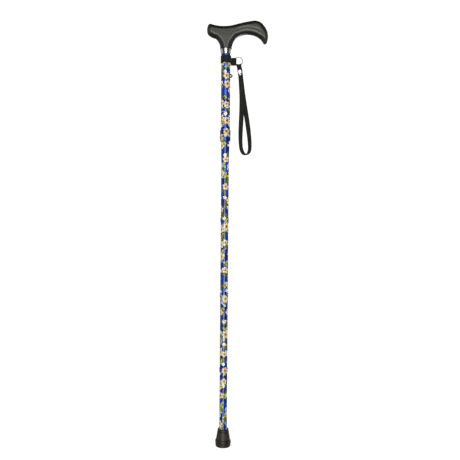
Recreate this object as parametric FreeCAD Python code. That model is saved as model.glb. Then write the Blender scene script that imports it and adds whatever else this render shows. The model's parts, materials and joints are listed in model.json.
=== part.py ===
import FreeCAD, Part
import math
import os

# Folding walking cane with an adjustable height, a Derby handle and a wrist strap.
# Millimetres. +Z runs up the shaft, +X points along the long arm of the handle,
# and the origin is the centre of the rubber tip's sole.

Vector = FreeCAD.Vector
X_AXIS = Vector(1, 0, 0)
Y_AXIS = Vector(0, 1, 0)
Z_AXIS = Vector(0, 0, 1)
FULL_TURN = 360

# Tubes
UPPER_TUBE_R = 9.5
LOWER_TUBE_R = 8.0
TUBE_WALL = 0.9
UPPER_BORE_R = UPPER_TUBE_R - TUBE_WALL
LOWER_BORE_R = LOWER_TUBE_R - TUBE_WALL
RUNNING_FIT = 0.05
SLIP_FIT = 0.15

# Heights along the shaft
NECK_Z = 801.7
UPPER_TUBE_TOP_Z = 801.5
UPPER_TUBE_BOTTOM_Z = 621.0
ADJUSTING_TUBE_TOP_Z = 763.0
FIRST_JOINT_Z = 613.0
SECTION_LENGTH = 151.5
SECTION_COUNT = 4
JOINT_GAP = 0.1

# Height adjustment: one button, five holes
BUTTON_Z = 748.2
HOLE_PITCH = 25.4
HOLE_COUNT = 5
HOLE_R = 3.9
BUTTON_R = 3.75
BUTTON_TIP_X = 14.1
BUTTON_DOME_H = 2.9
BUTTON_TAIL_R = 1.2
SPRING_THICK = 0.8
SPRING_WIDTH = 6.0
SPRING_ARM_X = 5.9
SPRING_TURN_Z = 716.0
SPRING_TOP_Z = 755.0

# Locking collar at the lower end of the upper tube
COLLAR_BOTTOM_Z = 615.6
COLLAR_TOP_Z = 637.9
COLLAR_R = 11.2
THREAD_RING_R = 10.3
THREAD_TOP_Z = 636.0
THREAD_BOTTOM_Z = 624.0
THREAD_PITCH = 1.5
THREAD_DEPTH = 0.4

# Handle
HANDLE_HALF_WIDTH = 12.0
HANDLE_EDGE_R = 7.0
HANDLE_LAYERS = 5
SPIGOT_TOP_Z = 827.0
SPIGOT_BOTTOM_Z = 768.0
SPIGOT_NECK_R = 7.0
SCREW_R = 1.95
SCREW_HEAD_R = 4.0
SCREW_HEAD_H = 3.2
SCREW_TOP_Z = 842.0
RIVET_R = 1.5
RIVET_Z = 797.0
RIVET_INNER_X = 4.0
RIVET_OUTER_X = UPPER_TUBE_R - 0.3      # sunk, so that the collar slides over it

# Folding joints
PLUG_R = LOWER_BORE_R - RUNNING_FIT
PLUG_UP = 22.0
PLUG_DOWN = 28.0
PLUG_NOSE_H = 4.0
PLUG_NOSE_R = 5.2
CORD_R = 2.0
CORD_HOLE_R = 2.6
SLEEVE_FIT = 0.03
SLEEVE_R = 8.8
SLEEVE_H = 10.0
FIRST_SLEEVE_H = 28.0
FIRST_SLEEVE_END_R = 8.35

# Elastic cord and its anchors
TOP_ANCHOR_Z = 690.0
BOTTOM_ANCHOR_Z = 23.0
ANCHOR_H = 5.0
KNOT_R = 4.0

# Rubber tip
TIP_SEAT_Z = 10.5
TIP_HEIGHT = 35.0
WASHER_H = 1.5
FLUTE_COUNT = 28
FLUTE_R = 1.0

# Strap hardware
BAND_INNER_R = 9.6
BAND_R = 10.75
BAND_BOTTOM_Z = 773.4
BAND_TOP_Z = 788.7
TAB_TOP_Z = 784.6
TAB_BOTTOM_Z = 769.4
RING_CENTRE = Vector(25.5, 0, 777.8)
RING_R = 8.2
RING_WIRE_HALF_WIDTH = 0.7
RING_HALF_DEPTH = 0.9
RING_GROOVE = 0.35
RING_GROOVE_HALF = 0.1
HANG_POINT = Vector(27.0, 0, 769.84)
HANG_LEAN_DEG = 8.0
LOOP_HALF_THICK = 1.9
LOOP_HULL_R = 2.45
LOOP_HOLE_R = 1.25
LOOP_PIVOT_R = 1.4
LOOP_PIVOT_LENGTH = 5.0
EYE_R = 1.2                     # seat of the ring's wire in the tab
CRIMP_TOP = 9.2
CRIMP_BOTTOM = 20.6
CRIMP_WIDTH = 10.7
CRIMP_THICK = 5.8
CRIMP_WALL = 0.5

# Wrist strap: flat webbing in one tilted plane, from the crimp down and back up to it.
# The route's points are (across, down) in that plane, measured from the crimp's lower face.
STRAP_WIDTH = 9.5
STRAP_THICK = 2.2
STRAP_TURN_DEG = 43.0
STRAP_DOWN = Vector(0.0586, -0.0208, -0.9981)
ARC_SHARE = 0.45
STRAP_ROUTE = [
    (-1.3, 0.0), (-0.2, 16.0), (0.0, 45.0), (-2.6, 76.0), (-6.8, 104.0), (-9.9, 130.0),
    (-9.8, 149.0), (-4.6, 159.2), (4.6, 161.6), (13.0, 156.2), (16.2, 145.0),
    (15.9, 126.0), (13.0, 98.0), (8.6, 70.0), (4.8, 42.0), (2.3, 16.0), (1.3, 0.0),
]


def save(name, shape):
    shape.exportStep(f"parts/{name}.step")
    print(f"{name:18s} {len(shape.Solids)} solid(s) {shape.Volume:10.1f} mm3 valid {shape.isValid()}")


def cylinder(radius, low, high):
    return Part.makeCylinder(radius, high - low, Vector(0, 0, low))


def ring(outer, inner, low, high):
    return cylinder(outer, low, high).cut(cylinder(inner, low - 1, high + 1))


def turned(outline):
    """Solid of revolution about Z from (radius, z) corners."""
    points = [Vector(r, 0, z) for r, z in outline]
    face = Part.Face(Part.makePolygon(points + points[:1]))
    return face.revolve(Vector(), Z_AXIS, FULL_TURN)


def plate(outline, half_depth):
    """Prism along Y, centred on Y = 0, from (x, z) corners."""
    points = [Vector(x, -half_depth, z) for x, z in outline]
    face = Part.Face(Part.makePolygon(points + points[:1]))
    return face.extrude(Y_AXIS * (2 * half_depth))


def joint_z(number):
    """Height of folding joint 1 (top) to 4 (bottom)."""
    return FIRST_JOINT_Z - SECTION_LENGTH * (number - 1)


def hang(shape):
    """Lean a piece that was drawn hanging straight down from the ring."""
    hung = shape.copy()
    hung.rotate(Vector(), Y_AXIS, -HANG_LEAN_DEG)
    hung.translate(HANG_POINT)
    return hung


# Handle end ---------------------------------------------------------------

def handle_outline():
    """Side view of the Derby handle: arcs through every second point, closed by the neck."""
    side = [
        (-11.7, NECK_Z), (-14.1, 814.5), (-21.5, 823.8), (-30.0, 826.8), (-36.6, 831.6),
        (-38.5, 840.5), (-36.6, 849.6), (-34.0, 852.5), (-29.5, 852.3), (-6.0, 848.6),
        (16.0, 851.2), (36.0, 856.4), (56.0, 860.0), (68.8, 857.1), (77.4, 848.6),
        (84.6, 832.5), (83.0, 817.4), (79.0, 813.0), (74.8, 815.8), (66.0, 825.8),
        (50.0, 832.2), (34.0, 831.6), (21.5, 825.6), (14.8, 816.0), (11.7, NECK_Z),
    ]
    points = [Vector(x, 0, z) for x, z in side]
    arcs = [Part.Arc(*points[start:start + 3]).toShape() for start in range(0, len(points) - 2, 2)]
    return Part.Wire(arcs + [Part.makeLine(points[-1], points[0])])


def make_handle():
    """Flat-sided body whose rims are rounded in thin layers of the same outline."""
    face = Part.Face(handle_outline())
    layers = []
    for number in range(HANDLE_LAYERS + 1):
        angle = math.pi / 2 * number / HANDLE_LAYERS
        inset = HANDLE_EDGE_R * (1 - math.cos(angle))
        half_width = HANDLE_HALF_WIDTH - HANDLE_EDGE_R * (1 - math.sin(angle))
        layer = face.makeOffset2D(-inset) if inset else face.copy()
        layer.translate(Y_AXIS * -half_width)
        layers.append(layer.extrude(Y_AXIS * (2 * half_width)))
    body = layers[0].fuse(layers[1:]).removeSplitter()
    socket = cylinder(SPIGOT_NECK_R + RUNNING_FIT, NECK_Z - 1, SPIGOT_TOP_Z + 1)
    pilot = cylinder(SCREW_R + RUNNING_FIT, NECK_Z, SCREW_TOP_Z + 1)
    return body.cut(socket).cut(pilot)


def make_handle_spigot():
    tube_r = UPPER_BORE_R - RUNNING_FIT
    head_z = SPIGOT_BOTTOM_Z + 6.0
    body = turned([
        (0, SPIGOT_BOTTOM_Z), (tube_r - 1, SPIGOT_BOTTOM_Z), (tube_r, SPIGOT_BOTTOM_Z + 1),
        (tube_r, UPPER_TUBE_TOP_Z), (SPIGOT_NECK_R, UPPER_TUBE_TOP_Z),
        (SPIGOT_NECK_R, SPIGOT_TOP_Z - 1), (SPIGOT_NECK_R - 1, SPIGOT_TOP_Z), (0, SPIGOT_TOP_Z),
    ])
    bore = cylinder(SCREW_R + RUNNING_FIT, SPIGOT_BOTTOM_Z - 1, SPIGOT_TOP_Z + 1)
    counterbore = cylinder(SCREW_HEAD_R + SLIP_FIT, SPIGOT_BOTTOM_Z - 1, head_z)
    return body.cut(bore).cut(counterbore).cut(rivet_holes())


def make_handle_screw():
    head_top = SPIGOT_BOTTOM_Z + 6.0
    head = cylinder(SCREW_HEAD_R, head_top - SCREW_HEAD_H, head_top)
    slot = Part.makeBox(9, 1, 1.4, Vector(-4.5, -0.5, head_top - SCREW_HEAD_H))
    point = turned([(0, SCREW_TOP_Z - 4), (SCREW_R, SCREW_TOP_Z - 4), (0, SCREW_TOP_Z)])
    shank = cylinder(SCREW_R, head_top, SCREW_TOP_Z - 4)
    return head.cut(slot).fuse(shank).fuse(point).removeSplitter()


def rivet_bar(radius, inner, outer):
    bar = Part.makeCylinder(radius, outer - inner, Vector(inner, 0, RIVET_Z), X_AXIS)
    other = bar.copy()
    other.rotate(Vector(), Z_AXIS, FULL_TURN / 2)
    return Part.makeCompound([bar, other])


def rivet_holes():
    return rivet_bar(RIVET_R + RUNNING_FIT, RIVET_INNER_X - 0.2, UPPER_TUBE_R + 1)


def make_chrome_collar():
    low = NECK_Z - 9.7
    return turned([
        (UPPER_TUBE_R + RUNNING_FIT, low), (10.0, low), (10.35, low + 0.5), (10.5, low + 2.5),
        (11.65, NECK_Z - 1.6), (11.95, NECK_Z - 0.5), (11.5, NECK_Z - 0.1),
        (UPPER_TUBE_R + RUNNING_FIT, NECK_Z - 0.1),
    ])


# Height adjustment --------------------------------------------------------

def hole_cutter(z, length):
    return Part.makeCylinder(HOLE_R, length, Vector(0, 0, z), X_AXIS)


def make_upper_tube():
    tube = ring(UPPER_TUBE_R, UPPER_BORE_R, UPPER_TUBE_BOTTOM_Z, UPPER_TUBE_TOP_Z)
    for number in range(HOLE_COUNT):
        tube = tube.cut(hole_cutter(BUTTON_Z - HOLE_PITCH * number, UPPER_TUBE_R + 1))
    return tube.cut(rivet_holes())


def make_tube_bush():
    """Plastic liner inside the upper tube's mouth, with a lip under its end."""
    inner = LOWER_TUBE_R + RUNNING_FIT
    liner = UPPER_BORE_R - 0.03
    lip_z = UPPER_TUBE_BOTTOM_Z
    return turned([
        (inner, lip_z - 1.5), (UPPER_TUBE_R, lip_z - 1.5), (UPPER_TUBE_R, lip_z - 0.02),
        (liner, lip_z - 0.02), (liner, lip_z + 12), (inner, lip_z + 12),
    ])


def make_thread_ring():
    """Male thread on the upper tube, drawn as closed ridges."""
    inner = UPPER_TUBE_R + 0.02
    body = ring(THREAD_RING_R - THREAD_DEPTH, inner, THREAD_BOTTOM_Z, THREAD_TOP_Z)
    ridges = int((THREAD_TOP_Z - THREAD_BOTTOM_Z) / THREAD_PITCH)
    root = THREAD_RING_R - THREAD_DEPTH
    for number in range(ridges):
        low = THREAD_BOTTOM_Z + THREAD_PITCH * number + 0.1
        ridge = turned([
            (inner, low), (root, low), (THREAD_RING_R, low + 0.5), (THREAD_RING_R, low + 0.8),
            (root, low + 1.3), (inner, low + 1.3),
        ])
        body = body.fuse(ridge)
    return body.removeSplitter()


def make_locking_collar():
    inner = THREAD_RING_R + 0.3
    mouth = LOWER_TUBE_R + 0.4
    low = COLLAR_BOTTOM_Z
    high = COLLAR_TOP_Z
    return turned([
        (mouth, low), (COLLAR_R - 0.8, low), (COLLAR_R, low + 0.8), (COLLAR_R, high - 0.8),
        (COLLAR_R - 0.8, high), (inner - 0.4, high), (inner, high - 0.4), (inner, low + 3.2),
        (mouth, low + 1.6),
    ])


def make_adjusting_tube():
    tube = ring(LOWER_TUBE_R, LOWER_BORE_R, FIRST_JOINT_Z + JOINT_GAP, ADJUSTING_TUBE_TOP_Z)
    return tube.cut(hole_cutter(BUTTON_Z, LOWER_TUBE_R + 1))


def make_upper_glide():
    """Plastic cap on the adjusting tube's top end that runs in the upper tube."""
    top = ADJUSTING_TUBE_TOP_Z
    outer = UPPER_BORE_R - RUNNING_FIT
    return turned([
        (LOWER_TUBE_R + 0.02, top - 10), (outer, top - 10), (outer, top + 1), (outer - 0.4, top + 1.5),
        (LOWER_BORE_R - 0.6, top + 1.5), (LOWER_BORE_R - 0.6, top + 0.02),
        (LOWER_TUBE_R + 0.02, top + 0.02),
    ])


def make_snap_spring():
    """Bent leaf: two arms joined by a half turn at the bottom."""
    outer_x = SPRING_ARM_X + SPRING_THICK / 2
    inner_x = SPRING_ARM_X - SPRING_THICK / 2
    height = SPRING_TOP_Z - SPRING_TURN_Z
    half = SPRING_WIDTH / 2
    arms = []
    for side in (-1, 1):
        low_x = min(side * outer_x, side * inner_x)
        corner = Vector(low_x, -half, SPRING_TURN_Z)
        arms.append(Part.makeBox(SPRING_THICK, SPRING_WIDTH, height, corner))
    start = Vector(0, -half, SPRING_TURN_Z)
    outer = Part.makeCylinder(outer_x, SPRING_WIDTH, start, Y_AXIS)
    inner = Part.makeCylinder(inner_x, SPRING_WIDTH, start, Y_AXIS)
    above = Part.makeBox(2 * outer_x, SPRING_WIDTH, outer_x, Vector(-outer_x, -half, SPRING_TURN_Z))
    turn = outer.cut(inner).cut(above)
    rivet_hole = Part.makeCylinder(BUTTON_TAIL_R + 0.1, 10, Vector(0, 0, BUTTON_Z), X_AXIS)
    return turn.fuse(arms[0]).fuse(arms[1]).removeSplitter().cut(rivet_hole)


def make_snap_button():
    back = SPRING_ARM_X + SPRING_THICK / 2 + 0.02
    shoulder = BUTTON_TIP_X - BUTTON_DOME_H
    stem = Part.makeCylinder(BUTTON_R, shoulder - back, Vector(back, 0, BUTTON_Z), X_AXIS)
    dome_r = (BUTTON_R ** 2 + BUTTON_DOME_H ** 2) / (2 * BUTTON_DOME_H)
    ball = Part.makeSphere(dome_r, Vector(BUTTON_TIP_X - dome_r, 0, BUTTON_Z))
    reach = Part.makeCylinder(BUTTON_R, BUTTON_DOME_H + 1, Vector(shoulder, 0, BUTTON_Z), X_AXIS)
    tail = Part.makeCylinder(BUTTON_TAIL_R, 1.6, Vector(back - 1.6, 0, BUTTON_Z), X_AXIS)
    return stem.fuse(ball.common(reach)).fuse(tail).removeSplitter()


# Folding shaft ------------------------------------------------------------

def make_joint_plug(number):
    """Tubular plug fixed in the tube above the joint and free in the one below."""
    z = joint_z(number)
    nose = z - PLUG_DOWN
    body = turned([
        (0, nose), (PLUG_NOSE_R, nose), (PLUG_R, nose + PLUG_NOSE_H), (PLUG_R, z + PLUG_UP),
        (0, z + PLUG_UP),
    ])
    return body.cut(cylinder(CORD_HOLE_R, nose - 1, z + PLUG_UP + 1))


def make_joint_sleeve(number):
    """Reinforcing sleeve round the mouth of the tube below the joint."""
    top = joint_z(number)
    inner = LOWER_TUBE_R + SLEEVE_FIT
    if number == 1:
        low = top - FIRST_SLEEVE_H
        return turned([
            (inner, low), (FIRST_SLEEVE_END_R - 0.1, low), (FIRST_SLEEVE_END_R, low + 0.4),
            (SLEEVE_R, top - 9), (SLEEVE_R, top - 0.5), (SLEEVE_R - 0.4, top), (inner, top),
        ])
    low = top - SLEEVE_H
    return turned([
        (inner, low), (inner + 0.25, low), (SLEEVE_R, low + 2.0), (SLEEVE_R, top - 1.5),
        (SLEEVE_R - 0.3, top - 0.3), (SLEEVE_R - 0.5, top), (inner, top),
    ])


def make_section_tube(number):
    top = joint_z(number)
    if number == SECTION_COUNT:
        low = TIP_SEAT_Z + WASHER_H
    else:
        low = joint_z(number + 1) + JOINT_GAP
    return ring(LOWER_TUBE_R, LOWER_BORE_R, low, top)


def make_anchor(low):
    disc = turned([
        (0, low), (PLUG_R - 0.5, low), (PLUG_R, low + 0.5), (PLUG_R, low + ANCHOR_H), (0, low + ANCHOR_H),
    ])
    return disc.cut(cylinder(CORD_HOLE_R, low - 1, low + ANCHOR_H + 1))


def make_elastic_cord():
    low_knot = BOTTOM_ANCHOR_Z - KNOT_R
    high_knot = TOP_ANCHOR_Z + ANCHOR_H + KNOT_R
    cord = cylinder(CORD_R, low_knot, high_knot)
    for z in (low_knot, high_knot):
        cord = cord.fuse(Part.makeSphere(KNOT_R, Vector(0, 0, z)))
    return cord.removeSplitter()


def make_tip_washer():
    return ring(LOWER_TUBE_R - 0.2, 3.0, TIP_SEAT_Z, TIP_SEAT_Z + WASHER_H)


def make_rubber_tip():
    bore = LOWER_TUBE_R + 0.02
    body = turned([
        (0, 0), (4.5, 0), (4.5, 0.8), (6.0, 0.8), (6.0, 0), (8.0, 0), (8.0, 0.8), (9.5, 0.8), (9.5, 0),
        (11.5, 0), (11.5, 0.8), (12.8, 0.8), (12.8, 0), (14.4, 0), (15.2, 0.8), (15.5, 5.0),
        (15.9, 10.0), (15.9, 12.2), (15.3, 13.2), (14.3, 14.4), (12.7, 24.0), (12.1, 28.0),
        (12.1, 29.5), (11.3, 30.5), (11.2, 34.0), (10.7, TIP_HEIGHT), (bore, TIP_HEIGHT),
        (bore, TIP_SEAT_Z), (0, TIP_SEAT_Z),
    ])
    slope = math.degrees(math.atan2(1.6, 9.6))
    flute = Part.makeCylinder(FLUTE_R, 11.5, Vector(0, 0, 0))
    flute.rotate(Vector(), Y_AXIS, -slope)
    flute.translate(Vector(14.9, 0, 15.4))
    flutes = []
    for number in range(FLUTE_COUNT):
        copy = flute.copy()
        copy.rotate(Vector(), Z_AXIS, FULL_TURN / FLUTE_COUNT * number)
        flutes.append(copy)
    return body.cut(flutes)


# Strap --------------------------------------------------------------------

def make_strap_band():
    return ring(BAND_R, BAND_INNER_R, BAND_BOTTOM_Z, BAND_TOP_Z)


def make_strap_tab():
    """Two sewn layers that leave the band and fold round the ring's wire."""
    plan = [
        (9.0, 1.3), (14.6, 1.3), (16.4, 2.3), (19.6, 2.3), (20.7, 1.7), (21.3, 0.6),
    ]
    corners = plan + [(x, -y) for x, y in reversed(plan)]
    points = [Vector(x, y, TAB_BOTTOM_Z) for x, y in corners]
    face = Part.Face(Part.makePolygon(points + points[:1]))
    body = face.extrude(Z_AXIS * (TAB_TOP_Z - TAB_BOTTOM_Z))
    middle = RING_CENTRE.z
    side_view = plate([
        (9.0, TAB_BOTTOM_Z), (15.0, TAB_BOTTOM_Z), (18.0, middle - 5.6), (22.0, middle - 5.2),
        (22.0, middle + 5.2), (18.0, middle + 5.6), (15.0, TAB_TOP_Z), (9.0, TAB_TOP_Z),
    ], 4)
    wire_x = RING_CENTRE.x - RING_R
    eye = Part.makeBox(3, 2 * EYE_R, 40, Vector(wire_x, -EYE_R, middle - 20))
    eye = eye.fuse(Part.makeCylinder(EYE_R, 40, Vector(wire_x, 0, middle - 20)))
    clear_of_band = cylinder(BAND_R + 0.05, TAB_BOTTOM_Z - 1, BAND_TOP_Z + 1)
    return body.common(side_view).cut(eye).cut(clear_of_band)


def make_split_ring():
    """Flat wire in two turns, drawn as one ring with the seam as a groove."""
    low = RING_R - RING_WIRE_HALF_WIDTH
    high = RING_R + RING_WIRE_HALF_WIDTH
    deep = RING_HALF_DEPTH
    seam = RING_GROOVE_HALF
    half = [(low, -deep), (high, -deep), (high, -seam), (high - RING_GROOVE, 0)]
    profile = half + [(high, seam), (high, deep), (low, deep), (low, seam), (low + RING_GROOVE, 0), (low, -seam)]
    points = [RING_CENTRE + Vector(radius, y, 0) for radius, y in profile]
    face = Part.Face(Part.makePolygon(points + points[:1]))
    return face.revolve(RING_CENTRE, Y_AXIS, FULL_TURN)


def make_strap_ring_loop():
    """Short webbing loop over the ring's wire, sewn flat below it."""
    outline = plate([
        (-4.9, 3.5), (4.9, 3.5), (4.6, -2.0), (4.2, -CRIMP_TOP), (4.2, -CRIMP_BOTTOM + 0.1),
        (-4.2, -CRIMP_BOTTOM + 0.1), (-4.2, -CRIMP_TOP), (-4.6, -2.0),
    ], LOOP_HULL_R)
    layers = plate([(-6, 0), (6, 0), (6, -30), (-6, -30)], LOOP_HALF_THICK)
    hull = Part.makeTorus(RING_R, LOOP_HULL_R, RING_CENTRE, Y_AXIS)
    hole = Part.makeTorus(RING_R, LOOP_HOLE_R, RING_CENTRE, Y_AXIS)
    start = Vector(-LOOP_PIVOT_LENGTH / 2, 0, 0)
    pivot = hang(Part.makeCylinder(LOOP_PIVOT_R, LOOP_PIVOT_LENGTH, start, X_AXIS))
    inside = Part.makeCylinder(RING_R, 10, RING_CENTRE - Y_AXIS * 5, Y_AXIS)
    below_wire = hang(layers).cut(inside)
    return hang(outline).common(below_wire.fuse(hull)).cut(hole).cut(pivot).removeSplitter()


def make_strap_crimp():
    """Folded sheet clamp, open at both ends."""
    half_width = CRIMP_WIDTH / 2
    height = CRIMP_BOTTOM - CRIMP_TOP
    outer = Part.makeBox(CRIMP_WIDTH, CRIMP_THICK, height, Vector(-half_width, -CRIMP_THICK / 2, -CRIMP_BOTTOM))
    uprights = [edge for edge in outer.Edges if abs(edge.BoundBox.ZLength - height) < 0.01]
    outer = outer.makeFillet(1.2, uprights)
    inner = Part.makeBox(
        CRIMP_WIDTH - 2 * CRIMP_WALL, CRIMP_THICK - 2 * CRIMP_WALL, height + 2,
        Vector(-half_width + CRIMP_WALL, -CRIMP_THICK / 2 + CRIMP_WALL, -CRIMP_BOTTOM - 1),
    )
    return hang(outer.cut(inner))


def left_of(direction):
    return Vector(-direction.y, direction.x, 0)


def strap_pieces(route):
    """The route as runs and tangent arcs: each a list of (point, left normal)."""
    pieces = []
    start = route[0]
    for before, corner, after in zip(route, route[1:], route[2:]):
        incoming = (corner - before).normalize()
        outgoing = (after - corner).normalize()
        reach = ARC_SHARE * min((corner - before).Length, (after - corner).Length)
        half_turn = incoming.getAngle(outgoing) / 2
        radius = reach / math.tan(half_turn)
        towards_centre = (outgoing - incoming).normalize()
        middle_direction = (incoming + outgoing).normalize()
        entry = corner - incoming * reach
        leave = corner + outgoing * reach
        middle = corner + towards_centre * (radius / math.cos(half_turn) - radius)
        pieces.append([(start, left_of(incoming)), (entry, left_of(incoming))])
        pieces.append([
            (entry, left_of(incoming)), (middle, left_of(middle_direction)), (leave, left_of(outgoing)),
        ])
        print(f"strap corner at {corner.x:6.1f},{corner.y:6.1f}: radius {radius:7.1f} mm")
        start = leave
    pieces.append([(start, pieces[-1][-1][1]), (route[-1], pieces[-1][-1][1])])
    return pieces


def edges_at(pieces, offset):
    edges = []
    for piece in pieces:
        points = [point + left * offset for point, left in piece]
        curve = Part.LineSegment(*points) if len(points) == 2 else Part.Arc(*points)
        edges.append(curve.toShape())
    return edges


def crimp_mouth():
    """Centre of the crimp's lower face."""
    below = Vector(0, 0, -CRIMP_BOTTOM)
    return FreeCAD.Placement(HANG_POINT, FreeCAD.Rotation(Y_AXIS, -HANG_LEAN_DEG)).multVec(below)


def strap_placement():
    turn = math.radians(STRAP_TURN_DEG)
    across = Vector(math.cos(turn), math.sin(turn), 0)
    rotation = FreeCAD.Rotation(across, STRAP_DOWN, across.cross(STRAP_DOWN), "YXZ")
    return FreeCAD.Placement(crimp_mouth(), rotation)


def make_wrist_strap():
    route = [Vector(across, down, 0) for across, down in STRAP_ROUTE]
    pieces = strap_pieces(route)
    half = STRAP_THICK / 2
    sides = [edges_at(pieces, offset) for offset in (half, -half)]
    ends = []
    for point, left in (pieces[0][0], pieces[-1][-1]):
        ends.append(Part.makeLine(point + left * half, point - left * half))
    wire = Part.Wire(Part.__sortEdges__(sides[0] + sides[1] + ends))
    face = Part.Face(wire)
    face.translate(Z_AXIS * (-STRAP_WIDTH / 2))
    strap = face.extrude(Z_AXIS * STRAP_WIDTH)
    length = sum(edge.Length for edge in edges_at(pieces, 0))
    section = STRAP_THICK * STRAP_WIDTH
    print(f"strap length {length:.1f} mm, volume {strap.Volume:.0f}, section x length {section * length:.0f}")
    strap.Placement = strap_placement().multiply(strap.Placement)
    return strap


def main():
    os.makedirs("parts", exist_ok=True)
    save("handle", make_handle())
    save("handle_spigot", make_handle_spigot())
    save("handle_screw", make_handle_screw())
    save("spigot_rivets", rivet_bar(RIVET_R, RIVET_INNER_X, RIVET_OUTER_X))
    save("chrome_collar", make_chrome_collar())
    save("upper_tube", make_upper_tube())
    save("tube_bush", make_tube_bush())
    save("thread_ring", make_thread_ring())
    save("locking_collar", make_locking_collar())
    save("adjusting_tube", make_adjusting_tube())
    save("upper_glide", make_upper_glide())
    save("snap_spring", make_snap_spring())
    save("snap_button", make_snap_button())
    for number in range(1, SECTION_COUNT + 1):
        save(f"joint_plug_{number}", make_joint_plug(number))
        save(f"joint_sleeve_{number}", make_joint_sleeve(number))
        save(f"section_tube_{number}", make_section_tube(number))
    save("top_anchor", make_anchor(TOP_ANCHOR_Z))
    save("bottom_anchor", make_anchor(BOTTOM_ANCHOR_Z))
    save("elastic_cord", make_elastic_cord())
    save("tip_washer", make_tip_washer())
    save("rubber_tip", make_rubber_tip())
    save("strap_band", make_strap_band())
    save("strap_tab", make_strap_tab())
    save("split_ring", make_split_ring())
    save("strap_ring_loop", make_strap_ring_loop())
    save("strap_crimp", make_strap_crimp())
    save("wrist_strap", make_wrist_strap())


main()
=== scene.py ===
import json
import math

import bmesh
import bpy
from mathutils import Matrix, Vector
from mathutils.kdtree import KDTree


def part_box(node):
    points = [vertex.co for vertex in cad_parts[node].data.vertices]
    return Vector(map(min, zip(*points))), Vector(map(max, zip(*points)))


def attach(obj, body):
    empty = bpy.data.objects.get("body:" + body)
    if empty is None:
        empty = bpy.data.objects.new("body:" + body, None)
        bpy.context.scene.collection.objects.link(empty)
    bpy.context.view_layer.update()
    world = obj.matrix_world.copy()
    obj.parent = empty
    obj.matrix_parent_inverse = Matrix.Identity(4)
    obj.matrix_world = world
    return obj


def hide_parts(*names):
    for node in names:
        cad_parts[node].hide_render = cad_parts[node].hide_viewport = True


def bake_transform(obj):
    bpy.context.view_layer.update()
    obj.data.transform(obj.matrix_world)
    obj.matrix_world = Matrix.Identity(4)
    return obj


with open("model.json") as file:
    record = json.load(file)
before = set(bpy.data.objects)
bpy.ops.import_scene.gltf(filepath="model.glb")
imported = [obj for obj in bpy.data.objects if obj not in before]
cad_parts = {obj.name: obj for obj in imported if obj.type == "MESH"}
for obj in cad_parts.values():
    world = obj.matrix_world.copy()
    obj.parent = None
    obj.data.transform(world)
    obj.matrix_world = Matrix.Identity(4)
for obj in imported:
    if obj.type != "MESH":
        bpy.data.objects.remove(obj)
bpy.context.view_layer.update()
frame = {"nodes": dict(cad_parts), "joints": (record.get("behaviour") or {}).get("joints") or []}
scene = bpy.context.scene
scene.view_settings.view_transform = "Standard"
MM = 0.001
UP = Vector((0, 0, 1))


def joint(name):
    return next(one for one in frame["joints"] if one["name"] == name)


# Camera -------------------------------------------------------------------

CAMERA_DISTANCE = 1.2
CAMERA_X = 0.0107
CAMERA_Z = 0.4555
VIEW_WIDTH = 0.931
VIEW_MIDDLE_Z = 0.4365
LEAN = math.radians(0.44)

lens = bpy.data.cameras.new("camera")
lens.sensor_width = 36
lens.lens = 36 * CAMERA_DISTANCE / VIEW_WIDTH
lens.shift_y = (VIEW_MIDDLE_Z - CAMERA_Z) / VIEW_WIDTH
camera = bpy.data.objects.new("camera", lens)
scene.collection.objects.link(camera)
camera.location = (CAMERA_X, -CAMERA_DISTANCE, CAMERA_Z)
camera.rotation_euler = (math.radians(90), -LEAN, 0)
scene.camera = camera


# Meshes -------------------------------------------------------------------

def add_object(name, mesh, material, smooth=True):
    made = bpy.data.objects.new(name, mesh)
    scene.collection.objects.link(made)
    mesh.materials.append(material)
    for polygon in mesh.polygons:
        polygon.use_smooth = smooth
    return made


def flat_section(width, thick, boxy, count):
    """Outline of a flat band, as (across, out) points; boxy is 1 for an ellipse, 0 for a box."""
    points = []
    for number in range(count):
        turn = 2 * math.pi * number / count
        cos, sin = math.cos(turn), math.sin(turn)
        points.append((
            math.copysign(abs(cos) ** boxy, cos) * width / 2,
            math.copysign(abs(sin) ** boxy, sin) * thick / 2,
        ))
    return points


def sweep(name, centres, across, section, material, closed=False, scale=None):
    """Carry a section along points. across gives the direction of its width at each one.

    The UV map holds millimetres: across the band in U, along it in V.
    """
    count = len(centres)
    size = len(section)
    verts = []
    along = [0.0]
    for number, centre in enumerate(centres):
        if closed:
            before, after = centres[number - 1], centres[(number + 1) % count]
        else:
            before, after = centres[max(number - 1, 0)], centres[min(number + 1, count - 1)]
        tangent = (after - before).normalized()
        wide = across[number] - tangent * across[number].dot(tangent)
        wide.normalize()
        out = tangent.cross(wide)
        wide_scale, out_scale = scale(number / (count - 1)) if scale else (1, 1)
        verts += [centre + wide * (a * wide_scale) + out * (b * out_scale) for a, b in section]
        if number:
            along.append(along[-1] + (centre - centres[number - 1]).length)
    faces = []
    uvs = []
    for number in range(count if closed else count - 1):
        after = (number + 1) % count
        far = along[after] if after else along[-1] + (centres[0] - centres[-1]).length
        for side in range(size):
            beside = (side + 1) % size
            faces.append((
                number * size + side, number * size + beside, after * size + beside, after * size + side,
            ))
            u, u_beside = section[side][0] / MM, section[beside][0] / MM
            uvs += [
                (u, along[number] / MM), (u_beside, along[number] / MM), (u_beside, far / MM), (u, far / MM),
            ]
    if not closed:
        for first, place in ((0, along[0]), ((count - 1) * size, along[-1])):
            faces.append(tuple(range(first, first + size)))
            uvs += [(a / MM, place / MM) for a, b in section]
    mesh = bpy.data.meshes.new(name)
    mesh.from_pydata(verts, [], faces)
    layer = mesh.uv_layers.new(name="cloth")
    for number, uv in enumerate(uvs):
        layer.data[number].uv = uv
    made = add_object(name, mesh, material)
    recalculate_normals(mesh)
    return made


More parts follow.
